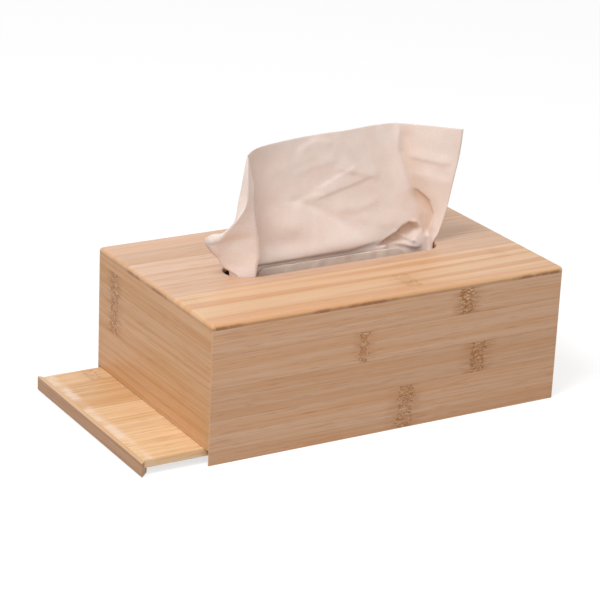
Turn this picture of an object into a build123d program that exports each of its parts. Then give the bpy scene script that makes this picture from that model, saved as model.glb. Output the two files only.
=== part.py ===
from build123d import *
from math import cos, radians, sin
import os

# A bamboo tissue box, filled from below. Four boards are mitred round the corners under a
# slotted top, and a base board slides in grooves in the two long walls. The base is shown
# drawn out by a few centimetres, with its lip clear of the short wall above it.
# Millimetres. X runs along the box, with the lip at -X; Y runs across it; Z is up from the
# table. The origin is on the table, half-way between the lip's face and the far wall's.

os.makedirs("parts", exist_ok=True)

# ---- Case ----
case_length = 252.0
case_width = 150.0
case_height = 90.0
wall_thickness = 6.0
top_thickness = 4.0
top_edge_radius = 2.4
corner_radius = 1.0

# ---- Dispensing slot in the top ----
slot_length = 153.0
slot_width = 27.0
slot_edge_radius = 1.0

# ---- Sliding base and its lip ----
base_thickness = 4.5
base_out = 43.0
groove_depth = 2.0
groove_floor_height = 4.7
slide_side_clearance = 0.4
slide_height_clearance = 0.3
lip_thickness = 6.0
lip_front_strip = 2.8
lip_mitre_gap = 1.2
lip_table_gap = 0.7

# ---- Tissues ----
pack_end_room = 20.0
pack_side_room = 19.0
stack_height = 58.0
stack_edge_radius = 6.0
soft_gap = 0.3
sheet_solid_thickness = 1.2
sheet_slot_room = 1.4
fold_slot_room = 2.3
next_slot_room = 2.0
sheet_stand = 80.0
next_below_top = 1.0

# ---- Heights and places that follow ----
wall_height = case_height - top_thickness
base_bottom = groove_floor_height + slide_height_clearance
base_top = base_bottom + base_thickness
groove_ceiling_height = base_top + slide_height_clearance
base_width = case_width - 2 * (wall_thickness - groove_depth + slide_side_clearance)
pack_length = case_length - 2 * (wall_thickness + pack_end_room)
pack_width = case_width - 2 * (wall_thickness + pack_side_room)
stack_bottom = base_top + soft_gap
stack_top = stack_bottom + stack_height
slot_end_centre = (slot_length - slot_width) / 2

case_centre_x = base_out / 2
case_floor = Plane(origin=(case_centre_x, 0, 0))
# On each wall's own floor plane, local X runs along the wall and local Y runs inwards.
front_floor = Plane(origin=(case_centre_x, -case_width / 2, 0), x_dir=(1, 0, 0))
back_floor = Plane(origin=(case_centre_x, case_width / 2, 0), x_dir=(-1, 0, 0))
lip_end_floor = Plane(origin=(case_centre_x - case_length / 2, 0, 0), x_dir=(0, -1, 0))
closed_end_floor = Plane(origin=(case_centre_x + case_length / 2, 0, 0), x_dir=(0, 1, 0))
lip_floor = Plane(origin=(case_centre_x - case_length / 2 - base_out, 0, 0), x_dir=(0, -1, 0))


def finish(solid, name):
    """Label a finished piece and write it to its own file."""
    solid.label = name
    export_step(solid, f"parts/{name}.step")
    return solid


# ---- Mitred boards ----
def mitred_plan(length, thickness):
    """Outline of a board seen from above: 45 degree mitres, and half a rounded corner at
    each end, so that two boards meet in one round corner."""
    half = length / 2
    eased = corner_radius * (1 - cos(radians(45)))
    arc_start = (-half + corner_radius, 0)
    arc_end = (-half + eased, eased)
    inner_end = (-half + thickness, thickness)
    with BuildLine() as outline:
        RadiusArc(arc_start, arc_end, corner_radius)
        Line(arc_end, inner_end)
        Line(inner_end, (0, thickness))
        Line((0, 0), arc_start)
        mirror(about=Plane.YZ)
    return outline.line


def grooved_wall(wall_floor, length, name):
    """A full-height wall with the base's groove along the whole of its inner face."""
    with BuildPart() as wall:
        with BuildSketch(wall_floor):
            add(mitred_plan(length, wall_thickness))
            make_face()
        extrude(amount=wall_height)
        with BuildSketch(wall_floor.offset(groove_floor_height)):
            with Locations((0, wall_thickness - groove_depth / 2)):
                Rectangle(length, groove_depth)
        extrude(amount=groove_ceiling_height - groove_floor_height, mode=Mode.SUBTRACT)
    return finish(wall.part, name)


front_wall = grooved_wall(front_floor, case_length, "front_wall")
back_wall = grooved_wall(back_floor, case_length, "back_wall")
closed_end_wall = grooved_wall(closed_end_floor, case_width, "closed_end_wall")

# The wall over the lip stops short, so that the base can pass under it.
with BuildPart() as lip_end_wall:
    with BuildSketch(lip_end_floor.offset(groove_ceiling_height)):
        add(mitred_plan(case_width, wall_thickness))
        make_face()
    extrude(amount=wall_height - groove_ceiling_height)
finish(lip_end_wall.part, "lip_end_wall")

# ---- Top board ----
with BuildPart() as top_board:
    with BuildSketch(case_floor.offset(wall_height)):
        RectangleRounded(case_length, case_width, corner_radius)
    extrude(amount=top_thickness)
    outer_rim = top_board.faces().sort_by(Axis.Z)[-1].outer_wire().edges()
    fillet(outer_rim, top_edge_radius)
    with BuildSketch(case_floor.offset(wall_height)):
        SlotOverall(slot_length, slot_width)
    extrude(amount=top_thickness, mode=Mode.SUBTRACT)
    slot_rim = top_board.faces().sort_by(Axis.Z)[-1].inner_wires()[0].edges()
    fillet(slot_rim, slot_edge_radius)
finish(top_board.part, "top_board")

# ---- Sliding base ----
# Pushed home, its far end stops just short of the floor of the closed end wall's groove.
base_front_x = case_centre_x - case_length / 2 - base_out + lip_front_strip
base_far_x = (
    case_centre_x + case_length / 2 - wall_thickness + groove_depth - slide_side_clearance - base_out
)
base_plane = Plane(origin=((base_front_x + base_far_x) / 2, 0, base_bottom))
with BuildPart() as base_board:
    with BuildSketch(base_plane):
        Rectangle(base_far_x - base_front_x, base_width)
    extrude(amount=base_thickness)
finish(base_board.part, "base_board")

# The lip fills the gap under the short wall and its two mitred corners. The base's end is let
# into its back, and it reaches lower than the base, which leaves room for fingers behind it.
with BuildPart() as base_lip:
    with BuildSketch(lip_floor.offset(lip_table_gap)):
        add(mitred_plan(case_width - 2 * lip_mitre_gap, lip_thickness))
        make_face()
    extrude(amount=base_top - lip_table_gap)
    with BuildSketch(lip_floor.offset(base_bottom)):
        with Locations((0, (lip_front_strip + lip_thickness) / 2)):
            Rectangle(case_width, lip_thickness - lip_front_strip)
    extrude(amount=base_thickness, mode=Mode.SUBTRACT)
finish(base_lip.part, "base_lip")

# ---- Stack of folded tissues ----
with BuildPart() as tissue_stack:
    with BuildSketch(case_floor.offset(stack_bottom)):
        RectangleRounded(pack_length, pack_width, stack_edge_radius)
    extrude(amount=stack_height)
    crowned_rim = tissue_stack.faces().sort_by(Axis.Z)[-1].edges()
    fillet(crowned_rim, stack_edge_radius)
finish(tissue_stack.part, "tissue_stack")


# ---- The sheet that stands out of the slot ----
def in_slot_end(side, room, turn):
    """A point in the slot's left (-1) or right (1) end: room in from its rim, and turn
    degrees towards the front from the slot's middle line."""
    reach = slot_width / 2 - room
    return (side * (slot_end_centre + reach * cos(radians(turn))), -reach * sin(radians(turn)))


# Each row is the sheet in plan at one height: its free left edge, the two ends of the left
# fold, the main face's left and right ends, and the right edge. X is from the case's centre.
# The sheet passes straight through the top board's slot.
free_edge_x = 1.5 - slot_end_centre
free_edge_y = sheet_slot_room - slot_width / 2
fold_front_turn = 30
fold_back_turn = 12
right_edge_turn = 14
slot_row = [
    (free_edge_x, free_edge_y),
    in_slot_end(-1, fold_slot_room, fold_front_turn),
    in_slot_end(-1, fold_slot_room, fold_back_turn),
    (5 - slot_end_centre, 1),
    (slot_end_centre + 6, 3),
    in_slot_end(1, sheet_slot_room, right_edge_turn),
]
# Inside the case the sheet runs down to the pack, gathered a little closer.
gathered_length = 0.92
gathered_width = 0.9
foot_row = [(gathered_length * x, gathered_width * y) for x, y in slot_row]
sheet_rows = {
    stack_top + soft_gap: foot_row,
    wall_height: slot_row,
    case_height: slot_row,
    case_height + 11: [(-60, -13), (-82, -4), (-82.5, -0.5), (-59, 1.5), (68, 4), (77, -6.5)],
    case_height + 23: [(-61.5, -14), (-87.5, -2), (-87.5, 1.5), (-60, 1), (64, 5), (79.5, -9)],
    case_height + 34: [(-62, -15), (-75.5, -10), (-75.5, -6), (-60, 0), (58.5, 6), (81, -11)],
    case_height + 50: [(-64, -17), (-75.5, -13), (-75, -9), (-60, -2), (53, 7), (81.5, -14)],
    case_height + sheet_stand: [(-72, -22), (-74.5, -20), (-74, -17), (-60, -4), (50.5, 9), (81, -20)],
}
# The rise of each arc between two of those points: flap, fold, back of the fold, main face
# and right flap. The main face bows towards the back.
sheet_rises = [0.3, -0.6, 0.5, 2.0, -1.5]


def sheet_outline(row):
    """Closed outline of the sheet at one height: the row's arcs, set off to both sides."""
    spine = [Vector(x, y) for x, y in row]
    runs = [(b - a).normalized() for a, b in zip(spine, spine[1:])]
    turns = [before + after for before, after in zip(runs, runs[1:])]
    ways = [runs[0], *turns, runs[-1]]
    sides = [way.normalized().rotate(Axis.Z, 90) * (sheet_solid_thickness / 2) for way in ways]
    one_side = [point + side for point, side in zip(spine, sides)]
    other_side = [point - side for point, side in zip(spine, sides)]
    with BuildLine() as outline:
        for chain in (one_side, other_side):
            for start, end, rise in zip(chain, chain[1:], sheet_rises):
                SagittaArc(start, end, rise)
        Line(one_side[0], other_side[0])
        Line(one_side[-1], other_side[-1])
    return outline.line


with BuildPart() as tissue_sheet:
    for height, row in sheet_rows.items():
        with BuildSketch(case_floor.offset(height)):
            add(sheet_outline(row))
            make_face()
    loft(ruled=True)
finish(tissue_sheet.part, "tissue_sheet")

# ---- The next sheet, drawn up into the front half of the slot ----
# It lies flat at its foot and bends up, a quarter of an ellipse, to stand upright at its crest
# just before the standing sheet. It is lower towards both ends. Each row gives its distance
# in from the centre of the slot's end, and its share of the full rise.
next_left_rows = {11: 0.85, 23: 1.0}
next_right_rows = {17: 1.0, 1: 0.6}
next_rows = {inset - slot_end_centre: share for inset, share in next_left_rows.items()}
next_rows |= {slot_end_centre - inset: share for inset, share in next_right_rows.items()}
next_foot_z = stack_top + soft_gap + sheet_solid_thickness / 2
next_rise = case_height - next_below_top - next_foot_z
next_foot_y = next_slot_room - slot_width / 2
next_run = -sheet_solid_thickness - next_foot_y

with BuildPart() as next_tissue:
    for along, share in next_rows.items():
        cross_plane = Plane(
            origin=(case_centre_x + along, 0, next_foot_z), x_dir=(0, 1, 0), z_dir=(1, 0, 0)
        )
        with BuildSketch(cross_plane):
            with BuildLine():
                rise = share * next_rise
                EllipticalCenterArc((next_foot_y, rise), next_run, rise, start_angle=270, arc_size=90)
            trace(line_width=sheet_solid_thickness)
    loft(ruled=True)
finish(next_tissue.part, "next_tissue")
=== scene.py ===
# %% [markdown]
# # A bamboo tissue box with its base drawn out
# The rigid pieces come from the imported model: four mitred walls, a slotted top, and a base
# board with a lip that slides. This script gives them their bamboo, and makes the tissues.
# Everything is in metres, X along the box, Y across it and Z up from the table.

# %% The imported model
import bmesh
import bpy
import math
import numpy as np
import random
from mathutils import Matrix, Vector, noise


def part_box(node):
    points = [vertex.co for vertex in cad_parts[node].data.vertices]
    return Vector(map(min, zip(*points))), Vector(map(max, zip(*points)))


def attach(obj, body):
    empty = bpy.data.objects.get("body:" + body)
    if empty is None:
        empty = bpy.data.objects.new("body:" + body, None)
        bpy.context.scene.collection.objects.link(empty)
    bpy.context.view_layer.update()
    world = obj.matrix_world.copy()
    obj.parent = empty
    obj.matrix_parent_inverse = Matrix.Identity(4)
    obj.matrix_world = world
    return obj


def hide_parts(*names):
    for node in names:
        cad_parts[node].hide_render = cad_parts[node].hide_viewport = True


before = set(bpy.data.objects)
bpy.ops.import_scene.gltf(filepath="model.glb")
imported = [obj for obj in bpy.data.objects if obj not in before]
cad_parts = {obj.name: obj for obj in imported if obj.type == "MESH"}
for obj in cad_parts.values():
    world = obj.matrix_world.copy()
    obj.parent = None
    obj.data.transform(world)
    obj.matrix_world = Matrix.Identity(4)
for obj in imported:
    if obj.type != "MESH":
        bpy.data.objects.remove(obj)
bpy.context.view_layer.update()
MM = 0.001
random.seed(4)

top_low, top_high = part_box("top_board")
stack_low, stack_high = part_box("tissue_stack")
case_x = (top_low.x + top_high.x) / 2
case_top = top_high.z
print("nodes", sorted(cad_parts))
print("case centre x", round(case_x, 4), "top at", round(case_top, 4))

# %% [markdown]
# ## Camera
# The picture is taken from the left front and from above, with a long lens, so the box's
# edges stay nearly parallel. A camera can be aimed with a constraint, but the export and the
# other views want plain numbers. So its three axes are worked out from three angles: yaw
# about the vertical, pitch down, and a small roll of the picture.

# %% Camera
camera_yaw = math.radians(31.217)
camera_pitch = math.radians(20.581)
camera_roll = math.radians(2.586)
camera_place = Vector((-0.7344, -1.2115, 0.5958))
focal_length_mm = 143.9

ahead = Vector((
    math.sin(camera_yaw) * math.cos(camera_pitch),
    math.cos(camera_yaw) * math.cos(camera_pitch),
    -math.sin(camera_pitch),
))
level_right = Vector((math.cos(camera_yaw), -math.sin(camera_yaw), 0))
level_up = level_right.cross(ahead)
right = math.cos(camera_roll) * level_right + math.sin(camera_roll) * level_up
up = math.cos(camera_roll) * level_up - math.sin(camera_roll) * level_right

camera = bpy.data.objects.new("camera", bpy.data.cameras.new("camera"))
camera.data.sensor_width = 36
camera.data.lens = focal_length_mm
camera.data.clip_start = 0.05
camera.data.clip_end = 20
turned = Matrix((right, up, -ahead)).transposed().to_4x4()
camera.matrix_world = Matrix.Translation(camera_place) @ turned
bpy.context.scene.collection.objects.link(camera)
bpy.context.scene.camera = camera
print("camera looks along", [round(a, 3) for a in ahead])

# %% [markdown]
# ## Building materials with few words
# A material is a graph, and a graph is a chore to write out. `add_node` makes one node with its
# inputs filled in, where an input is either a plain value or another node's output. The other
# helpers name the few nodes that every material here is made of.

# %% Node helpers
def add_node(tree, kind, inputs=None, **settings):
    made = tree.nodes.new(kind)
    for name, value in settings.items():
        setattr(made, name, value)
    for name, value in (inputs or {}).items():
        if isinstance(value, bpy.types.NodeSocket):
            tree.links.new(value, made.inputs[name])
        else:
            made.inputs[name].default_value = value
    return made


def sums(tree, operation, *values):
    made = add_node(tree, "ShaderNodeMath", dict(enumerate(values)), operation=operation)
    return made.outputs[0]


def mixed(tree, share, first, second):
    made = add_node(tree, "ShaderNodeMix", data_type="RGBA")
    factor, a, b = made.inputs[0], made.inputs[6], made.inputs[7]
    for socket, value in ((factor, share), (a, first), (b, second)):
        if isinstance(value, bpy.types.NodeSocket):
            tree.links.new(value, socket)
        else:
            socket.default_value = value
    return made.outputs[2]


def ramped(tree, value, low, high, to_low=0.0, to_high=1.0):
    made = add_node(tree, "ShaderNodeMapRange", {0: value, 1: low, 2: high, 3: to_low, 4: to_high})
    made.interpolation_type = "SMOOTHSTEP"
    return made.outputs[0]


def parts(tree, vector):
    return add_node(tree, "ShaderNodeSeparateXYZ", {0: vector}).outputs


def stretched(tree, vector, x, y, z):
    made = add_node(tree, "ShaderNodeVectorMath", {0: vector, 1: (x, y, z)}, operation="MULTIPLY")
    return made.outputs[0]


def cloud(tree, vector, detail, scale=1.0, **more):
    """Smooth noise, 0 to 1, with about `scale` lumps to each unit of its vector."""
    inputs = {"Vector": vector, "Scale": scale, "Detail": detail, **more}
    return add_node(tree, "ShaderNodeTexNoise", inputs).outputs[0]


def paint(red, green, blue):
    """A colour as seen on a screen, 0 to 255, made into the linear colour that nodes use."""
    shown = [c / 255 for c in (red, green, blue)]
    return (*[c / 12.92 if c <= 0.04045 else ((c + 0.055) / 1.055) ** 2.4 for c in shown], 1)


def new_group(name, inputs, outputs):
    group = bpy.data.node_groups.new(name, "ShaderNodeTree")
    for label, kind in inputs.items():
        group.interface.new_socket(label, in_out="INPUT", socket_type=f"NodeSocket{kind}")
    for label, kind in outputs.items():
        group.interface.new_socket(label, in_out="OUTPUT", socket_type=f"NodeSocket{kind}")
    start = group.nodes.new("NodeGroupInput")
    end = group.nodes.new("NodeGroupOutput")
    return group, start.outputs, end.inputs


# %% [markdown]
# ## Bamboo
# A bamboo board is glued up from strips about 20 mm wide. Each strip has its own tone, and
# long fibres run down it. Noise that is stretched fifty to eighty times along the grain makes
# such fibres, and white noise by the strip's number gives each its own tone and its own
# fibres. Three sizes of fibre are laid over each other, so that the board still has grain
# close up.

# %% Strips and fibres
strips, given, out = new_group(
    "bamboo_strips",
    {"Grain": "Vector", "Strip Width": "Float", "First Seam": "Float", "Seed": "Float"},
    {"Fibres": "Float", "Pores": "Float", "Tone": "Float", "Seam": "Float"},
)
sway = 2.2 * MM
seam_half_width = 0.35 * MM
grain = parts(strips, given["Grain"])
from_seam = sums(strips, "SUBTRACT", grain[1], given["First Seam"])
in_strips = sums(strips, "DIVIDE", from_seam, given["Strip Width"])
number = sums(strips, "FLOOR", in_strips)
strip_seed = sums(strips, "ADD", sums(strips, "MULTIPLY", number, 1.7), given["Seed"])
lot = add_node(strips, "ShaderNodeTexWhiteNoise", {"W": strip_seed}, noise_dimensions="1D")

wander = cloud(strips, stretched(strips, given["Grain"], 7, 30, 30), 1.0)
sideways = sums(strips, "MULTIPLY", sums(strips, "SUBTRACT", wander, 0.5), sway)
swayed = add_node(strips, "ShaderNodeCombineXYZ", {
    0: grain[0], 1: sums(strips, "ADD", grain[1], sideways), 2: grain[2]})
own_place = add_node(
    strips, "ShaderNodeVectorMath", {0: swayed.outputs[0], 1: lot.outputs[1]}, operation="ADD")


def fibre(per_metre_along, per_metre_across, detail):
    drawn_out = stretched(
        strips, own_place.outputs[0], per_metre_along, per_metre_across, per_metre_across)
    return cloud(strips, drawn_out, detail, Roughness=0.55)


broad = sums(strips, "MULTIPLY", fibre(4, 210, 2.0), 0.34)
middling = sums(strips, "MULTIPLY", fibre(8, 640, 2.0), 0.38)
fine = sums(strips, "MULTIPLY", fibre(24, 1900, 1.0), 0.28)
fibres = sums(strips, "ADD", sums(strips, "ADD", broad, middling), fine)
to_edge = sums(strips, "MULTIPLY", sums(strips, "PINGPONG", in_strips, 0.5), given["Strip Width"])
strips.links.new(ramped(strips, fibres, 0.36, 0.64), out["Fibres"])
strips.links.new(ramped(strips, fibre(70, 1500, 0.0), 0.66, 0.74), out["Pores"])
strips.links.new(lot.outputs[0], out["Tone"])
strips.links.new(ramped(strips, to_edge, 0.0, seam_half_width, 1.0, 0.0), out["Seam"])
print("bamboo_strips has", len(strips.nodes), "nodes")

# %% [markdown]
# Every half metre or so a bamboo cane has a knuckle, where its fibres knot. Planed flat, a
# knuckle shows as a patch across one strip, about 10 mm long: ragged at its sides, browner
# than the strip, with cream flecks and squiggles, and some dark fibres run out of it. Knuckles
# could be a random scatter, but people remember a box by them, so each one is listed, and
# this group draws it.

# %% Knuckles
knuckle, given, out = new_group(
    "bamboo_knuckle",
    {"Grain": "Vector", "Along": "Float", "Across": "Float", "Length": "Float",
     "Strip Width": "Float", "Strength": "Float"},
    {"Stain": "Float", "Fleck": "Float"},
)
grain = parts(knuckle, given["Grain"])


def knot_noise(along, across, detail, distortion=0.0):
    drawn_out = stretched(knuckle, given["Grain"], along, across, across)
    return cloud(knuckle, drawn_out, detail, Distortion=distortion)


raggedness = 11 * MM
strays = sums(knuckle, "SUBTRACT", knot_noise(160, 520, 2.0), 0.5)
ragged = sums(knuckle, "MULTIPLY", strays, raggedness)
off_centre = sums(knuckle, "SUBTRACT", sums(knuckle, "ADD", grain[0], ragged), given["Along"])
half_length = sums(knuckle, "MULTIPLY", given["Length"], 0.5)
reach = sums(knuckle, "DIVIDE", sums(knuckle, "ABSOLUTE", off_centre), half_length)
aside = sums(knuckle, "ABSOLUTE", sums(knuckle, "SUBTRACT", grain[1], given["Across"]))
in_strip = sums(knuckle, "LESS_THAN", aside, sums(knuckle, "MULTIPLY", given["Strip Width"], 0.5))
patch = sums(knuckle, "MULTIPLY", ramped(knuckle, reach, 0.75, 1.1, 1.0, 0.0), in_strip)
from_rim = sums(knuckle, "ABSOLUTE", sums(knuckle, "SUBTRACT", reach, 0.85))
rim = sums(knuckle, "MULTIPLY", ramped(knuckle, from_rim, 0.0, 0.3, 1.0, 0.0), in_strip)
squiggle = knot_noise(420, 760, 1.0, 1.4)
around = sums(knuckle, "MULTIPLY", ramped(knuckle, reach, 0.6, 3.2, 1.0, 0.0), in_strip)
dark_fibres = ramped(knuckle, knot_noise(30, 700, 2.0), 0.3, 0.62, 0.0, 0.42)
halo = sums(knuckle, "MULTIPLY", around, dark_fibres)
stain = sums(
    knuckle, "ADD", sums(knuckle, "MULTIPLY", patch, 0.72), sums(knuckle, "MULTIPLY", rim, 0.45))
blotched = sums(knuckle, "MULTIPLY", stain, ramped(knuckle, squiggle, 0.40, 0.60, 0.35, 1.15))
shade = sums(knuckle, "MAXIMUM", blotched, halo)
fleck = sums(knuckle, "MULTIPLY", patch, ramped(knuckle, squiggle, 0.36, 0.45, 0.34, 0.0))
for mask, label in ((shade, "Stain"), (fleck, "Fleck")):
    knuckle.links.new(sums(knuckle, "MULTIPLY", mask, given["Strength"]), out[label])
print("bamboo_knuckle has", len(knuckle.nodes), "nodes")

# %% [markdown]
# The lacquered board mixes all that: a deep and a pale tone by the fibres, a little lighter
# or darker by the strip, dark pores, brown knuckles with cream flecks, and a hairline where
# two strips are glued. The same values drive the lacquer's height and gloss.

# %% Lacquered board
board, given, out = new_group(
    "bamboo_board",
    {"Pale": "Color", "Deep": "Color", "Fibres": "Float", "Pores": "Float", "Tone": "Float",
     "Seam": "Float", "Stain": "Float", "Fleck": "Float", "Strip Contrast": "Float"},
    {"Color": "Color", "Roughness": "Float", "Height": "Float"},
)
knuckle_brown = paint(160, 104, 54)
seam_brown = paint(160, 106, 66)
cream = paint(236, 202, 158)
tone = sums(board, "MULTIPLY", sums(board, "SUBTRACT", given["Tone"], 0.5), given["Strip Contrast"])
share_pale = sums(board, "ADD", given["Fibres"], sums(board, "MULTIPLY", tone, 3.0))
wood = mixed(board, share_pale, given["Deep"], given["Pale"])
lift = sums(board, "ADD", tone, 1.0)
lifts = add_node(board, "ShaderNodeCombineXYZ", {0: lift, 1: lift, 2: lift}).outputs[0]
toned = add_node(
    board, "ShaderNodeVectorMath", {0: wood, 1: lifts}, operation="MULTIPLY").outputs[0]
pored = mixed(board, sums(board, "MULTIPLY", given["Pores"], 0.28), toned, seam_brown)
stained = mixed(board, given["Stain"], pored, knuckle_brown)
flecked = mixed(board, given["Fleck"], stained, cream)
seamed = mixed(board, sums(board, "MULTIPLY", given["Seam"], 0.4), flecked, seam_brown)
board.links.new(seamed, out["Color"])
board.links.new(ramped(board, given["Fibres"], 0.0, 1.0, 0.50, 0.42), out["Roughness"])
relief = sums(board, "SUBTRACT", given["Fibres"], sums(board, "ADD", given["Pores"], given["Seam"]))
board.links.new(sums(board, "SUBTRACT", relief, given["Stain"]), out["Height"])

# %% [markdown]
# ## Each board's own finish
# One function makes the finish of any board: it is told which way the grain runs, where a
# seam lies, its two tones, and its knuckles, each as a place along the grain, a place across
# it, a length, a strength and, unless it is one strip wide, a width. `dress` is a function
# that changes the colour further. Object coordinates are used, so the grain is solid: it turns
# into end grain at a board's ends by itself.

# %% The finish of a board
strip_width = 20.3 * MM
AXES = {"X": 0, "Y": 1, "Z": 2}


def bamboo(name, along, across, first_seam, seed, pale, deep, knuckles, contrast=0.12, dress=None):
    material = bpy.data.materials.new(name)
    material.use_nodes = True
    tree = material.node_tree
    shader = tree.nodes["Principled BSDF"]
    place = add_node(tree, "ShaderNodeTexCoord").outputs["Object"]
    xyz = parts(tree, place)
    depth = 3 - AXES[along] - AXES[across]
    grain = add_node(
        tree, "ShaderNodeCombineXYZ", {0: xyz[AXES[along]], 1: xyz[AXES[across]], 2: xyz[depth]})
    figure = add_node(tree, "ShaderNodeGroup", node_tree=strips)
    tree.links.new(grain.outputs[0], figure.inputs["Grain"])
    figure.inputs["Strip Width"].default_value = strip_width
    figure.inputs["First Seam"].default_value = first_seam
    figure.inputs["Seed"].default_value = seed
    stain, fleck = 0.0, 0.0
    for along_grain, across_grain, length, strength, *own_width in knuckles:
        knot = add_node(tree, "ShaderNodeGroup", node_tree=knuckle)
        tree.links.new(grain.outputs[0], knot.inputs["Grain"])
        knot.inputs["Along"].default_value = along_grain
        knot.inputs["Across"].default_value = across_grain
        knot.inputs["Length"].default_value = length
        knot.inputs["Strip Width"].default_value = own_width[0] if own_width else strip_width
        knot.inputs["Strength"].default_value = strength
        stain = sums(tree, "MAXIMUM", knot.outputs["Stain"], stain)
        fleck = sums(tree, "MAXIMUM", knot.outputs["Fleck"], fleck)
    lacquer = add_node(tree, "ShaderNodeGroup", node_tree=board)
    lacquer.inputs["Pale"].default_value = pale
    lacquer.inputs["Deep"].default_value = deep
    lacquer.inputs["Strip Contrast"].default_value = contrast
    for label in ("Fibres", "Pores", "Tone", "Seam"):
        tree.links.new(figure.outputs[label], lacquer.inputs[label])
    if knuckles:
        tree.links.new(stain, lacquer.inputs["Stain"])
        tree.links.new(fleck, lacquer.inputs["Fleck"])
    bump = add_node(tree, "ShaderNodeBump", {
        "Height": lacquer.outputs["Height"], "Strength": 0.35, "Distance": 0.06 * MM})
    color = lacquer.outputs["Color"]
    if dress:
        color = dress(tree, place, color)
    tree.links.new(color, shader.inputs["Base Color"])
    tree.links.new(lacquer.outputs["Roughness"], shader.inputs["Roughness"])
    tree.links.new(bump.outputs[0], shader.inputs["Normal"])
    return material


def put_on(node_name, material):
    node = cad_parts[node_name]
    node.data.materials.clear()
    node.data.materials.append(material)
    print(node_name, "is finished in", material.name)


# %% [markdown]
# The long walls are a little pinker than the short ones, and the top and the base are paler
# than any wall. Places along a board are measured from the case's centre, so `from_centre`
# turns them into places in the shared frame.

# %% Walls
def from_centre(x_mm):
    return case_x + x_mm * MM


wall_pale, wall_deep = paint(211, 171, 140), paint(203, 150, 106)
short_pale, short_deep = paint(208, 163, 121), paint(196, 142, 90)
front_knuckles = [
    (from_centre(54), 77.5 * MM, 9 * MM, 1.5, 17 * MM),
    (from_centre(-20), 59 * MM, 6.5 * MM, 0.9),
    (from_centre(65), 38.7 * MM, 11 * MM, 1.1),
    (from_centre(12), 14.2 * MM, 11 * MM, 0.95, 28 * MM),
]
back_knuckles = [
    (from_centre(-71), 79.4 * MM, 9 * MM, 1.0),
    (from_centre(38), 59 * MM, 10 * MM, 0.9),
    (from_centre(-33), 18.4 * MM, 11 * MM, 1.0),
    (from_centre(97), 38.7 * MM, 8 * MM, 0.7),
]
lip_end_knuckles = [
    (52 * MM, 69.5 * MM, 9 * MM, 1.2),
    (52.5 * MM, 49.2 * MM, 10 * MM, 1.2),
]
closed_end_knuckles = [
    (-31 * MM, 49.2 * MM, 10 * MM, 0.9),
    (18 * MM, 28.9 * MM, 9 * MM, 0.7),
]
long_seam = 8.2 * MM
short_seam = 18.7 * MM
put_on("front_wall", bamboo(
    "bamboo_front_wall", "X", "Z", long_seam, 3.1, wall_pale, wall_deep, front_knuckles,
    contrast=0.07))
put_on("back_wall", bamboo(
    "bamboo_back_wall", "X", "Z", long_seam, 27.4, wall_pale, wall_deep, back_knuckles))
put_on("lip_end_wall", bamboo(
    "bamboo_lip_end_wall", "Y", "Z", short_seam, 11.9, short_pale, short_deep, lip_end_knuckles,
    contrast=0.06))
put_on("closed_end_wall", bamboo(
    "bamboo_closed_end_wall", "Y", "Z", short_seam, 44.2, short_pale, short_deep,
    closed_end_knuckles))

# %% [markdown]
# The top board's front strips, before its slot, are streaked with orange and cream. The board
# was rounded over with a router. The round is painted a little more orange than the flat, as a
# painted highlight, and just under it runs a thin brown line, painted shadow of the gap over the
# walls and partly a glue line, with darker patches where the cutter dwelt and scorched the
# bamboo. Those patches are placed one by one. The base has a pale, patchy band beside its lip,
# and the lip's top edge is painted pale, a painted highlight.

# %% Masks for the edges
def band(tree, value, centre, half, soft):
    """1 within `half` of a centre, falling to 0 over `soft` more."""
    apart = sums(tree, "ABSOLUTE", sums(tree, "SUBTRACT", value, centre))
    return ramped(tree, apart, half, half + soft, 1.0, 0.0)


def streaked_front(tree, place, color):
    y = parts(tree, place)[1]
    streak = cloud(tree, stretched(tree, place, 3, 120, 20), 1.0)
    streaks = mixed(
        tree, ramped(tree, streak, 0.42, 0.58), paint(207, 146, 86), paint(229, 190, 144))
    return mixed(tree, ramped(tree, y, -23 * MM, -27 * MM, 0.0, 0.5), color, streaks)


def scorch_marks(tree, place):
    """How scorched the top's edge is, 0 to 1: patches on its long edges and on its ends."""
    x, y = parts(tree, place)[:2]
    round_width = 2.6 * MM
    from_middle = sums(tree, "ABSOLUTE", sums(tree, "SUBTRACT", x, case_x))
    at_end = sums(tree, "GREATER_THAN", from_middle, (top_high.x - top_low.x) / 2 - round_width)
    at_long_edge = sums(tree, "SUBTRACT", 1.0, at_end)
    scorched = 0.0
    for side, along_edge, centre, half in (
        (at_long_edge, x, from_centre(-27), 26 * MM),
        (at_long_edge, x, from_centre(108), 16 * MM),
        (at_long_edge, x, from_centre(-116), 7 * MM),
        (at_end, y, -5 * MM, 9 * MM),
        (at_end, y, 27 * MM, 5 * MM),
    ):
        dwelt = sums(tree, "MULTIPLY", band(tree, along_edge, centre, half, 6 * MM), side)
        scorched = sums(tree, "MAXIMUM", scorched, dwelt)
    uneven = cloud(tree, place, 2.0, scale=140.0)
    return sums(tree, "MULTIPLY", scorched, ramped(tree, uneven, 0.35, 0.6, 0.25, 1.0))


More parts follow.
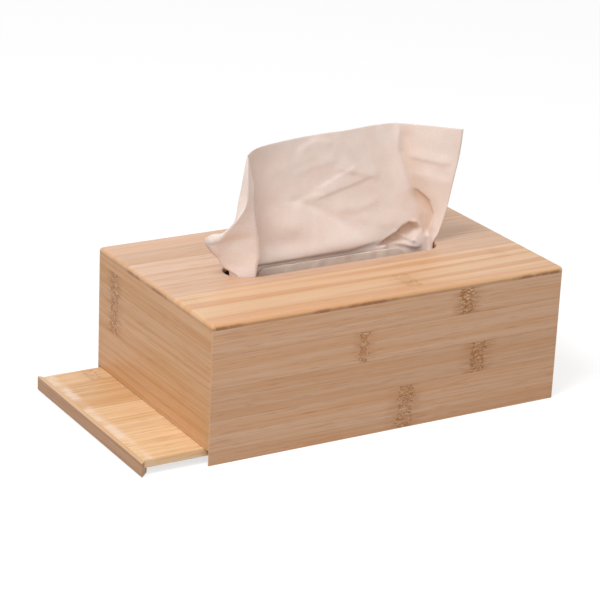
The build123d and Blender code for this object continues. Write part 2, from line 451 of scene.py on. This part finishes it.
def edge_scorch_highlight_and_gap_shadow(tree, place, color):
    z = parts(tree, place)[2]
    scorched = scorch_marks(tree, place)
    on_round = ramped(tree, z, case_top - 0.1 * MM, case_top - 0.7 * MM)
    foot_of_round = ramped(tree, z, case_top - 1.3 * MM, case_top - 1.9 * MM)
    below_round = ramped(tree, z, case_top - 2.1 * MM, case_top - 2.6 * MM)
    # Painted highlight: the round is tinted more orange than the flat.
    round_highlight = mixed(
        tree, sums(tree, "MULTIPLY", on_round, 0.5), streaked_front(tree, place, color),
        paint(222, 166, 108))
    toast = sums(tree, "MULTIPLY", sums(tree, "MULTIPLY", foot_of_round, scorched), 0.55)
    toasted = mixed(tree, toast, round_highlight, paint(176, 104, 48))
    # Painted shadow: the thin brown line under the round stands for the shaded gap over the walls,
    # partly a glue line, and is darker where scorched.
    scorch_and_gap_shadow_darkness = sums(tree, "ADD", sums(tree, "MULTIPLY", scorched, 0.25), 0.36)
    gap_shadow_share = sums(tree, "MULTIPLY", below_round, scorch_and_gap_shadow_darkness)
    return mixed(tree, gap_shadow_share, toasted, paint(116, 78, 58))


# %% Top, base and lip
top_knuckles = [
    (from_centre(20.7), -56.5 * MM, 10 * MM, 1.0, 22 * MM),
    (from_centre(102), -35.5 * MM, 9 * MM, 0.35),
    (from_centre(-119), -35.5 * MM, 9 * MM, 0.3),
    (from_centre(63), 45.8 * MM, 9 * MM, 0.5),
]
put_on("top_board", bamboo(
    "bamboo_top_board", "X", "Y", -5 * MM, 8.3, paint(221, 185, 160), paint(211, 167, 131),
    top_knuckles, dress=edge_scorch_highlight_and_gap_shadow))


def pale_band_by_lip(tree, place, color):
    # A pale, patchy band is mixed in along the joint with the lip.
    x = parts(tree, place)[0]
    joint = base_low.x + 3.6 * MM
    patchy = ramped(tree, cloud(tree, place, 3.0, scale=60.0), 0.42, 0.6, 0.12, 0.62)
    share = sums(tree, "MULTIPLY", band(tree, x, joint, 0.6 * MM, 5 * MM), patchy)
    return mixed(tree, share, color, paint(244, 226, 208))


base_low, base_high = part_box("base_board")
put_on("base_board", bamboo(
    "bamboo_base_board", "X", "Y", -8 * MM, 16.6, paint(235, 202, 162), paint(219, 170, 118),
    [(from_centre(-137), 62.5 * MM, 8 * MM, 0.5)], contrast=0.16, dress=pale_band_by_lip))


def lip_top_highlight(tree, place, color):
    z = parts(tree, place)[2]
    # Painted highlight: the lip's top edge is mixed towards a pale tan.
    on_top = ramped(tree, z, base_high.z - 0.5 * MM, base_high.z - 0.05 * MM, 0.0, 0.6)
    return mixed(tree, on_top, color, paint(238, 204, 162))


put_on("base_lip", bamboo(
    "bamboo_base_lip", "Y", "Z", -8 * MM, 21.7, paint(190, 146, 108), paint(170, 120, 79),
    knuckles=[], dress=lip_top_highlight))

# %% [markdown]
# ## A sheet of tissue
# A tissue is a square of soft paper, about 200 mm each way, folded once across. Drawn up, its
# upper half stands in the slot and its lower half still lies on the pack. It could be found
# by a cloth simulation, but then nobody can say how it falls. Here the flat sheet is laid out
# as a grid, and led through a few rows of points: at each height they say where the sheet's
# edges, folds and valley are. A curve runs through each row, with a crease where wanted.

# %% Curves through points
def curve_through(stations, points, at, crisp):
    """Read a cubic curve that meets `points` at `stations`. Where crisp is 1 it has a corner."""
    slopes = np.gradient(points, stations, axis=0)
    chords = np.diff(points, axis=0) / np.diff(stations)[:, None]
    i = np.clip(np.searchsorted(stations, at, side="right") - 1, 0, len(stations) - 2)
    step = (stations[i + 1] - stations[i])[:, None]
    t = (at - stations[i])[:, None] / step
    start = slopes[i] + (chords[i] - slopes[i]) * crisp[i][:, None]
    end = slopes[i + 1] + (chords[i] - slopes[i + 1]) * crisp[i + 1][:, None]
    along = (2 * t**3 - 3 * t**2 + 1) * points[i] + (3 * t**2 - 2 * t**3) * points[i + 1]
    return along + step * ((t**3 - 2 * t**2 + t) * start + (t**3 - t**2) * end)


def flat_sheet(name, columns, rows):
    """A square grid with its corner at the origin, one unit each way, and a UV map."""
    bm = bmesh.new()
    bm.loops.layers.uv.new("flat")
    bmesh.ops.create_grid(bm, x_segments=columns, y_segments=rows, size=0.5, calc_uvs=True)
    bmesh.ops.translate(bm, verts=bm.verts, vec=(0.5, 0.5, 0))
    mesh = bpy.data.meshes.new(name)
    bm.to_mesh(mesh)
    bm.free()
    sheet = bpy.data.objects.new(name, mesh)
    bpy.context.scene.collection.objects.link(sheet)
    return sheet


def grid_places(sheet):
    places = np.empty(len(sheet.data.vertices) * 3)
    sheet.data.vertices.foreach_get("co", places)
    return places.reshape(-1, 3)[:, :2]


# %% [markdown]
# The standing sheet's rows, from the pack up. In each row the points are: the free left
# edge, the front fold, the back fold, the main face's left end and two points on it, the
# valley, and the right edge. X is from the case's centre and Y from its middle line, in mm.
# The left of the sheet hooks forward in a fold that starts at nothing at the top corner and
# flares out to a tip lower down; the right of it turns forward at the valley. Where a point is
# crisp, the row has a corner there.

# %% Rows of the standing sheet
across_sheet = np.array([0, 10, 20, 44, 80, 120, 166, 200]) * MM
across_crisp = np.array([0, 1.0, 0.2, 0, 0, 0, 0.5, 0.0])
slot_entry = [
    (-61.5, -12.4), (-71.9, -8.9), (-75.2, -3.2), (-58, 0.8),
    (-27, 0.6), (12, 1.2), (74.3, 2.4), (74.7, -2.9),
]
tip_high = 115
standing_rows = {
    86: slot_entry,
    90: slot_entry,
    96: [(-61.1, -12.5), (-80.5, -4.8), (-75, 0.5), (-58, 1.2),
         (-27, 0.4), (12, 1.4), (73, 3.1), (76.5, -5.1)],
    103: [(-59.6, -13), (-85.4, -5.4), (-77, 0.5), (-58, 1.4),
          (-27, 0.6), (12, 2.2), (69.8, 3.8), (77.8, -6.9)],
    108: [(-60, -13.3), (-88.7, -6), (-78, 0.5), (-58, 1.4),
          (-27, 0.8), (12, 3), (67, 4.2), (78.6, -8)],
    tip_high: [(-61, -13.8), (-91.8, -6), (-80, -2), (-58.7, 1.1),
               (-27, 1.4), (12, 3.8), (63.6, 4.8), (79.5, -9.4)],
    119: [(-62, -14.1), (-88, -11.2), (-78.8, -3.8), (-59, 0.8),
          (-27, 1.7), (12, 4.1), (61.6, 5.1), (79.9, -10.2)],
    126: [(-64.1, -15), (-81.5, -15), (-76.5, -9), (-59.5, 0),
          (-27, 2.1), (12, 4.6), (58.5, 5.5), (80.3, -11.5)],
    137: [(-66.5, -16), (-74.8, -18.5), (-76, -12), (-60, -1.5),
          (-27, 2.5), (12, 5), (54.3, 6.5), (81, -13.5)],
    150: [(-68.1, -17.5), (-73.8, -19.3), (-75.2, -14.5), (-60.5, -3),
          (-27, 3), (11, 5.5), (50.3, 7.8), (81.7, -16)],
    161: [(-71.7, -19), (-74.2, -19.8), (-74.7, -17), (-61, -4.6),
          (-27, 3.5), (9, 6), (48.4, 8.5), (81.2, -18.5)],
    170: [(-74.5, -20.3), (-74.6, -20), (-74.3, -18.8), (-61.5, -6.4),
          (-27, 3.8), (8, 6.6), (48.5, 9), (80.8, -20)],
}
print("the standing sheet is led through", len(standing_rows), "rows")

# %% [markdown]
# Below the slot both sheets run down to the pack, spread out to their full width, and lie on
# it in a fold: the standing one towards the back, the next one towards the front. A run is a
# list of places on the way, from the slot down: how far along the sheet, in mm from its
# bottom edge, how far across the box, how high, and how gathered it still is there. While the
# standing sheet spreads, its hooked left part lies over the rest, so it has to stay a little
# higher. Where a sheet lies flat its curve is crisp: a soft one would swing up and down
# between two close points and a far one, through the layer below.

# %% From the slot to the pack
sheet_size = 200
full_width = 196
gathered_in_case = 0.93
hook_lift = 0.1
standing_run = [
    (99, 0, 69.5, 1.0), (95, 1.5, 67.9, 0.9), (84, 12, 67.6, 0.5), (70, 26, 67.5, 0.15),
    (52, 44, 67.5, 0), (49.5, 46, 67.1, 0), (47, 44, 66.7, 0), (0, -3, 66.7, 0),
]
standing_lies_to = 70


def lead_sheet(run, rows, entry):
    """Stations along the sheet, and each station's row of points, in mm."""
    stations, lines = [], []
    spread = (across_sheet / across_sheet[-1] - 0.5) * full_width
    foot = np.array(entry) * gathered_in_case
    for station, y, z, gathered in reversed(run):
        xs = foot[:, 0] * gathered + spread * (1 - gathered)
        ys = foot[:, 1] * gathered
        stations.append(station)
        lines.append(np.column_stack([xs, ys + y, z - hook_lift * ys]))
    run_top, _, run_high, _ = run[0]
    for high, row in rows.items():
        stations.append(run_top + high - run_high)
        lines.append(np.column_stack([np.array(row), np.full(len(row), high)]))
    return np.array(stations, float), np.array(lines, float)


# %% [markdown]
# The grid's own rows are not spread evenly: few lie hidden on the pack, and many pass the slot,
# where the sheet bends most. The row at the tip of the leaf has a corner.

# %% Laid out along the rows
hidden_lines = 30
slot_lines = 34
slot_reach = 16
tip_crisp = 0.9


def lay_out(sheet, columns, rows, stations, lines, stand_from, lies_to):
    """Where each point of a flat grid goes, and its places across and along the flat sheet."""
    flat = grid_places(sheet)
    order = np.lexsort((flat[:, 0], flat[:, 1]))
    across = np.linspace(0, across_sheet[-1], columns + 1)
    along = np.concatenate([
        np.linspace(stations[0], stand_from, hidden_lines, endpoint=False),
        np.linspace(stand_from, stand_from + slot_reach, slot_lines, endpoint=False),
        np.linspace(stand_from + slot_reach, stations[-1], rows + 1 - hidden_lines - slot_lines),
    ])
    crisp = np.where(stations <= lies_to, 1.0, 0.0)
    crisp[sorted(standing_rows).index(tip_high) - len(standing_rows)] = tip_crisp
    per_line = curve_through(stations, lines.reshape(len(stations), -1), along, crisp)
    per_line = per_line.reshape(rows + 1, len(across_sheet), 3)
    placed = np.array([
        curve_through(across_sheet, line, across, across_crisp) for line in per_line])
    return placed, order, across, along


columns, rows = 170, 156
tissue = flat_sheet("standing_tissue", columns, rows)
stations, lines = lead_sheet(standing_run, standing_rows, slot_entry)
below_slot = stations[len(standing_run)] - 2
placed, order, across, along = lay_out(
    tissue, columns, rows, stations, lines, below_slot, standing_lies_to)
print("sheet's own length", round(stations[-1], 1), "mm; points", placed.shape)

# %% [markdown]
# Folds and creases make paper look like paper. Each is a line on the standing sheet, given
# by how far along the box and how high it runs, in mm. A ridge stands forward along its line
# and dies away at its own rate above and below. A tuck drops back below its line, as where
# the sheet is folded over itself. Both push the sheet along its own normal.

# %% Ridges and tucks
def off_line(places, line):
    """Each place's distance from a chain of points, positive above it, and its share along it."""
    line = np.array(line, float)
    lengths = np.linalg.norm(np.diff(line, axis=0), axis=1)
    before = np.concatenate([[0], np.cumsum(lengths)])
    nearest = np.full(len(places), 1e9)
    signed, share = np.zeros(len(places)), np.zeros(len(places))
    for i, (start, end) in enumerate(zip(line, line[1:])):
        way = (end - start) / lengths[i]
        gone = np.clip((places - start) @ way, 0, lengths[i])
        apart = places - start - gone[:, None] * way
        distance = np.linalg.norm(apart, axis=1)
        closer = distance < nearest
        side = np.sign(way[0] * apart[:, 1] - way[1] * apart[:, 0])
        nearest = np.where(closer, distance, nearest)
        signed = np.where(closer, distance * side, signed)
        share = np.where(closer, (before[i] + gone) / before[-1], share)
    return signed, share


def eased(value):
    value = np.clip(value, 0, 1)
    return value * value * (3 - 2 * value)


def fading_ends(share, start=0.2, end=0.2):
    """1 along the middle of a line, easing to nothing at both its ends."""
    return eased(share / start) * eased((1 - share) / end)


def ridge(places, line, height, above, below):
    signed, share = off_line(places, line)
    width = np.where(signed > 0, above, below)
    return height * np.exp(-(signed / width) ** 2) * fading_ends(share)


def tuck(places, line, depth, edge, reach):
    signed, share = off_line(places, line)
    under = np.clip(-signed, 0, None)
    profile = eased(under / edge) * np.exp(-(under / reach) ** 2)
    return -depth * profile * fading_ends(share, 0.25, 0.15)


def surface_normals(grid):
    along_rows, along_columns = np.gradient(grid, axis=0), np.gradient(grid, axis=1)
    normals = np.cross(along_columns, along_rows)
    return normals / np.linalg.norm(normals, axis=2, keepdims=True)


# %% [markdown]
# The creases themselves. On the main face one broad ridge runs down to the right with a
# shallow valley above it, short sharp ones cross between them, and a long roll lies along the
# sheet's foot. On the right are the valley, a hollow in the flap beside it, and a pocket over
# the pleats in which the sheet is drawn together.

# %% Creases of the standing sheet
main_face_ridges = [
    ([(-52, 116), (-25, 114), (-5, 105), (14, 98), (26, 93)], 2.6, 11, 9),
    ([(-38, 133), (-20, 127), (-5.5, 120), (11.6, 108.4), (28, 95)], -0.7, 3, 2.5),
    ([(2, 147), (9, 145), (31, 138), (38, 134)], 0.6, 5, 1.8),
    ([(-16, 128), (-9.7, 129.8), (10.6, 133.8), (34, 138.5)], 0.7, 5, 1.4),
    ([(-12, 133), (-7.8, 134.8), (15.2, 143.8), (22, 146)], 0.55, 1.8, 5),
    ([(-30, 126), (-12, 131), (-2, 128)], 0.45, 2, 5),
    ([(-52, 148), (-30, 155), (-8, 158)], 0.35, 6, 4),
    ([(-28, 160), (-12, 166), (2, 162)], 0.5, 2, 4),
    ([(-30, 145), (-14, 150), (6, 152)], 0.22, 3, 2),
    ([(0, 121), (20, 118), (40, 122)], 0.5, 4, 3),
    ([(20, 112), (38, 106), (52, 104)], 0.5, 5, 3),
    ([(-74, 93), (-52, 93.6), (-15, 94.4), (14, 94.9), (34, 95.6), (44, 97)], 3.0, 8, 2.4),
]
right_flap_ridges = [
    ([(55, 149), (66, 147.5), (80, 145.5)], 0.9, 5, 2.5),
    ([(58, 134), (68, 136), (80, 131)], 0.5, 3, 5),
]
valley_line = [(71, 97), (67, 108), (62.1, 118), (58.5, 126), (54.3, 137), (50.3, 150), (48.5, 171)]
flap_hollow_line = [(59, 128), (65, 124), (71.3, 117.9), (74.5, 108.4), (75, 97), (74.5, 90)]
pocket_line = [
    (33, 91), (37.8, 94), (47.7, 97.8), (55.1, 102), (60.3, 104.3), (66, 102.7), (71, 97),
]
leaf_fold_line = [(-86, 96), (-84.5, 102.5), (-80.5, 113.5), (-79, 120)]
pleat_lines = [
    ([(40, 94.5), (52, 91), (70, 85.5)], 2.2, 1.0, 1.4),
    ([(48, 99.5), (56, 95.5), (70, 86)], 2.6, 1.2, 1.8),
    ([(61, 105), (68, 99), (75, 89)], 1.2, 1.6, 2.4),
]
pocket_depth = 6.5
valley_depth = 3.2
flap_depth = 2.2
face_places = placed[:, :, [0, 2]].reshape(-1, 2)
face_x, face_z = face_places.T
push = sum(ridge(face_places, *args) for args in main_face_ridges + right_flap_ridges + pleat_lines)
pocket = tuck(face_places, pocket_line, pocket_depth, 2.0, 11)
valley = tuck(face_places, valley_line, valley_depth, 3.5, 9)
flap_hollow = tuck(face_places, flap_hollow_line, flap_depth, 1.5, 6)
push += pocket + valley + flap_hollow

# %% [markdown]
# Little light reaches the bottom of a hollow, so its shade is painted into the paper: how deep
# each point lies in a tuck is kept, and the finish tints the paper there a darker, warmer tan.
# Then the creases are held back where they would push the sheet through the slot's rim: they
# start a little over the top, later at the slot's two round ends, and earlier beside the pleats.
# The outer part of the leaf, at the sheet's left, turns back beyond a fold of its own, and the
# whole sheet is faintly crumpled.

# %% Kept clear of the slot, and pushed
# Painted shade: how deep each point lies in the pocket, the valley and the flap's hollow, for the
# finish to darken.
hollow_shade_share = np.clip(
    -(pocket / pocket_depth * 0.9 + valley / valley_depth * 0.4 + flap_hollow / flap_depth * 0.55),
    0, 1)
away_from_ends = eased((face_x + 62) / 5) * eased((72 - face_x) / 4)
clear_at_ends = eased((face_z - 90.3) / 4)
beside_pleats = eased((face_x - 40) / 6) * eased((face_z - 84) / 3) * eased((91.8 - face_z) / 1.6)
clear_between = eased((face_z - 90.2) / 1.6) + 0.6 * beside_pleats
clear_of_slot = clear_at_ends * (1 - away_from_ends) + clear_between * away_from_ends

across_mm = np.tile(across, rows + 1) / MM
is_leaf = eased((22 - across_mm) / 6)
is_face = eased((across_mm - 34) / 12)
beyond_leaf_fold, along_leaf_fold = off_line(face_places, leaf_fold_line)
leaf_back = 0.35 * np.clip(beyond_leaf_fold, 0, 14) * fading_ends(along_leaf_fold)


def crumpled(u, v):
    """A push in mm at a place on the flat sheet, u across and v along it, in mm."""
    broad_lumps = noise.noise(Vector((u / 26, v / 30, 0.3)))
    small_lumps = noise.noise(Vector((u / 9, v / 11, 4.1)))
    return 0.55 * broad_lumps + 0.22 * small_lumps


crumple = np.array([crumpled(u / MM, v) for v in along for u in across])
push = (push * is_face + crumple - leaf_back * is_leaf) * clear_of_slot
towards_viewer = surface_normals(placed)
placed = placed + towards_viewer * push.reshape(rows + 1, columns + 1, 1)
print("creases push the sheet by", round(push.min(), 2), "to", round(push.max(), 2), "mm")


# %% Sheet into place
def settle(sheet, placed, order, across, along, hollow_shade_share=None):
    """Write the points, in metres in the shared frame, the flat sheet's own places as UVs, and
    how deep in a hollow each point lies, which the finish paints as shade."""
    places = np.empty((len(order), 3))
    places[order] = placed.reshape(-1, 3) * MM + np.array([case_x, 0, 0])
    sheet.data.vertices.foreach_set("co", places.ravel())
    flat = np.empty((len(order), 2))
    flat[order] = np.column_stack([np.tile(across, len(along)), np.repeat(along * MM, len(across))])
    corner_verts = np.empty(len(sheet.data.loops), int)
    sheet.data.loops.foreach_get("vertex_index", corner_verts)
    sheet.data.uv_layers["flat"].data.foreach_set("uv", flat[corner_verts].ravel())
    sheet.data.polygons.foreach_set("use_smooth", [True] * len(sheet.data.polygons))
    hollow = sheet.data.attributes.new("hollow", "FLOAT", "POINT")
    if hollow_shade_share is not None:
        values = np.empty(len(order))
        values[order] = hollow_shade_share
        hollow.data.foreach_set("value", values)
    sheet.data.update()


def thicken(sheet, thickness):
    solid = sheet.modifiers.new("two plies", "SOLIDIFY")
    solid.thickness = thickness
    solid.offset = 0


ply_thickness = 0.16 * MM
settle(tissue, placed, order, across, along, hollow_shade_share * is_face * clear_of_slot)
thicken(tissue, ply_thickness)
print("standing tissue spans", [round(d, 4) for d in tissue.dimensions])

# %% [markdown]
# ## The next sheet
# The pack feeds itself: each sheet drags the next one up into the slot behind it. Its free
# edge stands just before the standing sheet, a little under the top, and the rest lies
# forward on the pack. It is gathered where it passes through the slot, so it has small pleats:
# two waves across the sheet, multiplied, so that no two pleats are alike. From its foot to its
# crest it follows a quarter of an ellipse.

# %% Next sheet
next_columns, next_rows = 120, 90
next_hidden_lines = 40
next_tissue = flat_sheet("next_tissue_sheet", next_columns, next_rows)
next_low, next_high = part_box("next_tissue")
next_span = [(next_low.x - case_x) / MM - 6, (next_high.x - case_x) / MM + 2]
crest_y, crest_z = -1.2, next_high.z / MM + 0.8
foot_y, foot_z = -11.5, 68.2
bend_length = 25
bend_from = sheet_size - bend_length
foot_gathered = 0.95
next_lies_to = 150
next_fine_from = 170
pleat_depth = 0.5
next_run = [
    (bend_from, foot_y, foot_z, foot_gathered), (165, -21, 67.9, 0.4), (150, -36, 67.7, 0.1),
    (140, -45.5, 67.6, 0), (138, -47, 67.0, 0), (136, -45.5, 66.3, 0), (46, 44.5, 66.3, 0),
    (44, 46, 66.1, 0), (42, 44.5, 65.9, 0), (0, 3, 65.9, 0),
]
share_across = np.linspace(0, 1, next_columns + 1)
tight_x = np.interp(share_across, [0, 1], next_span)
spread_x = (share_across - 0.5) * full_width
crest_shape = 0.6 + 0.4 * eased(share_across / 0.07) * eased((1 - share_across) / 0.14)
pleat_shape = np.sin(share_across * 61) * np.sin(share_across * 17 + 1)
level = np.ones(next_columns + 1)
next_stations, next_lines = [], []
for station, y, z, gathered in reversed(next_run):
    next_stations.append(station)
    next_lines.append(np.column_stack([
        tight_x * gathered + spread_x * (1 - gathered), y * level, z * level]))
for turn in np.linspace(15, 90, 6):
    bend = math.radians(turn)
    gathered = foot_gathered + (1 - foot_gathered) * turn / 90
    next_stations.append(bend_from + bend_length * turn / 90)
    next_lines.append(np.column_stack([
        tight_x * gathered + spread_x * (1 - gathered),
        foot_y + (crest_y - foot_y + pleat_depth * pleat_shape) * math.sin(bend),
        foot_z + (crest_z - foot_z) * crest_shape * (1 - math.cos(bend)),
    ]))
next_stations, next_lines = np.array(next_stations, float), np.array(next_lines)
next_along = np.concatenate([
    np.linspace(0, next_fine_from, next_hidden_lines, endpoint=False),
    np.linspace(next_fine_from, sheet_size, next_rows + 1 - next_hidden_lines),
])
per_line = curve_through(
    next_stations, next_lines.reshape(len(next_stations), -1), next_along,
    np.where(next_stations <= next_lies_to, 1.0, 0.0))
next_placed = per_line.reshape(next_rows + 1, next_columns + 1, 3)
next_flat = grid_places(next_tissue)
next_order = np.lexsort((next_flat[:, 0], next_flat[:, 1]))
settle(next_tissue, next_placed, next_order, share_across * sheet_size * MM, next_along)
thicken(next_tissue, ply_thickness)
print("next tissue spans", [round(d, 4) for d in next_tissue.dimensions])

# %% [markdown]
# ## The pack
# Under those two lies the pack: dozens of sheets, each folded once and laid into its
# neighbour, so that folds and free edges alternate along its long sides. One sheet in it is
# a slab with one round side, made by bevelling a box, and the pack is a loop of such slabs,
# each a hair out of line with the last.

# %% Pack of folded sheets
folded_thickness = 1.9 * MM
pack_bottom = stack_low.z + 0.1 * MM
pack_top = 65.5 * MM
pack_count = int((pack_top - pack_bottom) / folded_thickness)
pitch = (pack_top - pack_bottom) / pack_count
pack_mesh = bmesh.new()
for i in range(pack_count):
    made = bmesh.ops.create_cube(pack_mesh, size=1)
    slab = made["verts"]
    length = stack_high.x - stack_low.x - random.uniform(1.5, 3.0) * MM
    width = stack_high.y - stack_low.y - random.uniform(1.0, 2.2) * MM
    bmesh.ops.scale(pack_mesh, verts=slab, vec=(length, width, pitch * 0.94))
    shift = (random.uniform(-0.4, 0.4) * MM, random.uniform(-0.4, 0.4) * MM)
    bmesh.ops.translate(pack_mesh, verts=slab, vec=(
        (stack_low.x + stack_high.x) / 2 + shift[0], shift[1], pack_bottom + (i + 0.5) * pitch))
    folded_side = 1 if i % 2 else -1
    fold_edges = [
        edge for edge in {edge for vert in slab for edge in vert.link_edges}
        if all(vert.co.y * folded_side > 0 for vert in edge.verts)
        and abs(edge.verts[0].co.x - edge.verts[1].co.x) > length / 2
    ]
    bmesh.ops.bevel(
        pack_mesh, geom=fold_edges, offset=pitch * 0.45, offset_type="OFFSET", affect="EDGES",
        segments=3, profile=0.5, material=-1)

# Bevels number their corners and faces in another order on every run, so both are sorted by
# place, and each face starts at its first corner.
corners = sorted(pack_mesh.verts, key=lambda vert: vert.co[:])
corner_number = {vert: number for number, vert in enumerate(corners)}
pack_faces = []
for face in pack_mesh.faces:
    around = [corner_number[vert] for vert in face.verts]
    first = around.index(min(around))
    pack_faces.append(around[first:] + around[:first])
pack_data = bpy.data.meshes.new("pack_of_tissues")
pack_data.from_pydata([vert.co[:] for vert in corners], [], sorted(pack_faces))
pack_mesh.free()
pack = bpy.data.objects.new("pack_of_tissues", pack_data)
bpy.context.scene.collection.objects.link(pack)
print("the pack has", pack_count, "folded sheets,", len(pack_data.polygons), "faces")

# %% [markdown]
# ## Unbleached tissue
# Unbleached paper is a warm, pinkish cream. It is matt, very faintly cloudy where its fibres
# lie thick or thin, and crepe: crossed by ridges half a millimetre apart. It is thin enough to
# glow a little, which a small share of subsurface light gives. The cloudiness and the crepe
# follow the flat sheet's own UVs, so that they fold with it.

# %% Tissue finish
tissue_grain, given, out = new_group(
    "tissue_paper",
    {"Place": "Vector", "Thin": "Color", "Thick": "Color"},
    {"Color": "Color", "Height": "Float"},
)


def tissue_noise(per_metre_across, per_metre_along, detail):
    lumps = stretched(tissue_grain, given["Place"], per_metre_across, per_metre_along, 200)
    return cloud(tissue_grain, lumps, detail)


clouds = ramped(tissue_grain, tissue_noise(70, 60, 3.0), 0.35, 0.65)
specks = ramped(tissue_grain, tissue_noise(900, 900, 1.0), 0.3, 0.7)
cloudy = sums(
    tissue_grain, "ADD",
    sums(tissue_grain, "MULTIPLY", clouds, 0.6), sums(tissue_grain, "MULTIPLY", specks, 0.4))
tissue_grain.links.new(mixed(tissue_grain, cloudy, given["Thin"], given["Thick"]), out["Color"])
crepe = tissue_noise(350, 1900, 1.0)
relief = sums(tissue_grain, "ADD", crepe, sums(tissue_grain, "MULTIPLY", specks, 0.5))
tissue_grain.links.new(relief, out["Height"])


def tissue_finish(name, thin, thick, coordinates):
    material = bpy.data.materials.new(name)
    material.use_nodes = True
    tree = material.node_tree
    shader = tree.nodes["Principled BSDF"]
    place = add_node(tree, "ShaderNodeTexCoord").outputs[coordinates]
    paper = add_node(tree, "ShaderNodeGroup", node_tree=tissue_grain)
    tree.links.new(place, paper.inputs["Place"])
    paper.inputs["Thin"].default_value = thin
    paper.inputs["Thick"].default_value = thick
    bump = add_node(tree, "ShaderNodeBump", {
        "Height": paper.outputs["Height"], "Strength": 0.25, "Distance": 0.08 * MM})
    # Painted shade: the attribute hollow tints the paper towards a darker tan deep in the tucks.
    hollow = add_node(tree, "ShaderNodeAttribute", attribute_name="hollow").outputs["Fac"]
    shaded = sums(tree, "MULTIPLY", hollow, 0.75)
    hollow_shaded_color = mixed(tree, shaded, paper.outputs["Color"], paint(208, 172, 140))
    tree.links.new(hollow_shaded_color, shader.inputs["Base Color"])
    tree.links.new(bump.outputs[0], shader.inputs["Normal"])
    shader.inputs["Roughness"].default_value = 0.92
    shader.inputs["Specular IOR Level"].default_value = 0.15
    shader.inputs["Subsurface Weight"].default_value = 0.25
    shader.inputs["Subsurface Radius"].default_value = (1.0, 0.6, 0.4)
    shader.inputs["Subsurface Scale"].default_value = 0.6 * MM
    return material


tissue.data.materials.append(tissue_finish(
    "drawn_tissue", paint(240, 219, 210), paint(247, 229, 221), "UV"))
# Painted shade: the next sheet is the same paper, given warmer, darker colours because it lies in
# the standing sheet's shadow.
next_tissue.data.materials.append(tissue_finish(
    "next_tissue", paint(240, 214, 197), paint(247, 224, 209), "UV"))
pack.data.materials.append(tissue_finish(
    "stacked_tissue", paint(238, 220, 208), paint(244, 229, 218), "Object"))

# %% [markdown]
# ## Floor and light
# The floor is a plain pale sheet. It is only middling grey to the light, so that it throws
# little light up at the walls, and it glows a little for the camera alone, which makes it
# white in the picture and still leaves the box its shadow. The world is lit the same way.

# %% Floor and world
bpy.context.scene.view_settings.view_transform = "Standard"
floor_size = 12
floor_grey = 0.42
floor_glow = 0.68
sky_light = 0.6


def white_for_camera(tree, strength):
    ray = add_node(tree, "ShaderNodeLightPath").outputs
    seen = sums(tree, "MAXIMUM", ray["Is Camera Ray"], sums(
        tree, "MAXIMUM", ray["Is Glossy Ray"], ray["Is Transmission Ray"]))
    return sums(tree, "MULTIPLY", seen, strength)


floor_mesh = bmesh.new()
bmesh.ops.create_grid(floor_mesh, x_segments=1, y_segments=1, size=floor_size / 2)
floor_data = bpy.data.meshes.new("floor")
floor_mesh.to_mesh(floor_data)
floor_mesh.free()
floor = bpy.data.objects.new("floor", floor_data)
bpy.context.scene.collection.objects.link(floor)
floor_finish = bpy.data.materials.new("pale_floor")
floor_finish.use_nodes = True
floor_tree = floor_finish.node_tree
floor_shader = floor_tree.nodes["Principled BSDF"]
floor_shader.inputs["Base Color"].default_value = (floor_grey, floor_grey, floor_grey, 1)
floor_shader.inputs["Roughness"].default_value = 1
floor_shader.inputs["Specular IOR Level"].default_value = 0
floor_shader.inputs["Emission Color"].default_value = (1, 1, 1, 1)
floor_tree.links.new(
    white_for_camera(floor_tree, floor_glow), floor_shader.inputs["Emission Strength"])
floor.data.materials.append(floor_finish)

world = bpy.data.worlds.new("studio")
bpy.context.scene.world = world
world.use_nodes = True
backdrop = world.node_tree.nodes["Background"]
backdrop.inputs["Color"].default_value = (1, 1, 1, 1)
world.node_tree.links.new(
    sums(world.node_tree, "ADD", white_for_camera(world.node_tree, 1 - sky_light), sky_light),
    backdrop.inputs["Strength"])

# %% [markdown]
# The light is one large soft lamp high on the left, a weaker one in front, and the world. A
# lamp's strength in watts falls with the square of its distance, so `lamp` is told how
# bright its light should be where it lands, and works the watts out.

# %% Lamps
aim_height = 0.08


def lamp(name, azimuth, elevation, distance, size, brightness):
    """Azimuth 0 is in front of the box and 90 on its left, in degrees."""
    az, el = math.radians(azimuth), math.radians(elevation)
    way = Vector((-math.sin(az) * math.cos(el), -math.cos(az) * math.cos(el), math.sin(el)))
    light = bpy.data.lights.new(name, "AREA")
    light.shape = "DISK"
    light.size = size
    light.energy = brightness * math.pi * distance**2 * math.pi
    made = bpy.data.objects.new(name, light)
    made.location = Vector((0, 0, aim_height)) + way * distance
    made.rotation_euler = (-way).to_track_quat("-Z", "Y").to_euler()
    bpy.context.scene.collection.objects.link(made)
    print(name, "shines at", round(light.energy, 1), "W")


lamp("key", azimuth=60, elevation=55, distance=1.3, size=0.5, brightness=0.52)
lamp("front", azimuth=28, elevation=22, distance=1.1, size=0.6, brightness=0.11)

# %% [markdown]
# ## The new pieces on the case
# Each new piece rides on the body it belongs to and stands for the plain solid that the model
# has in its place, which is hidden.

# %% Finish
for piece, node, slot in (
    (tissue, "tissue_sheet", "drawn_tissue"),
    (next_tissue, "next_tissue", "next_tissue"),
    (pack, "tissue_stack", "stacked_tissue"),
):
    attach(piece, "case")
    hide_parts(node)
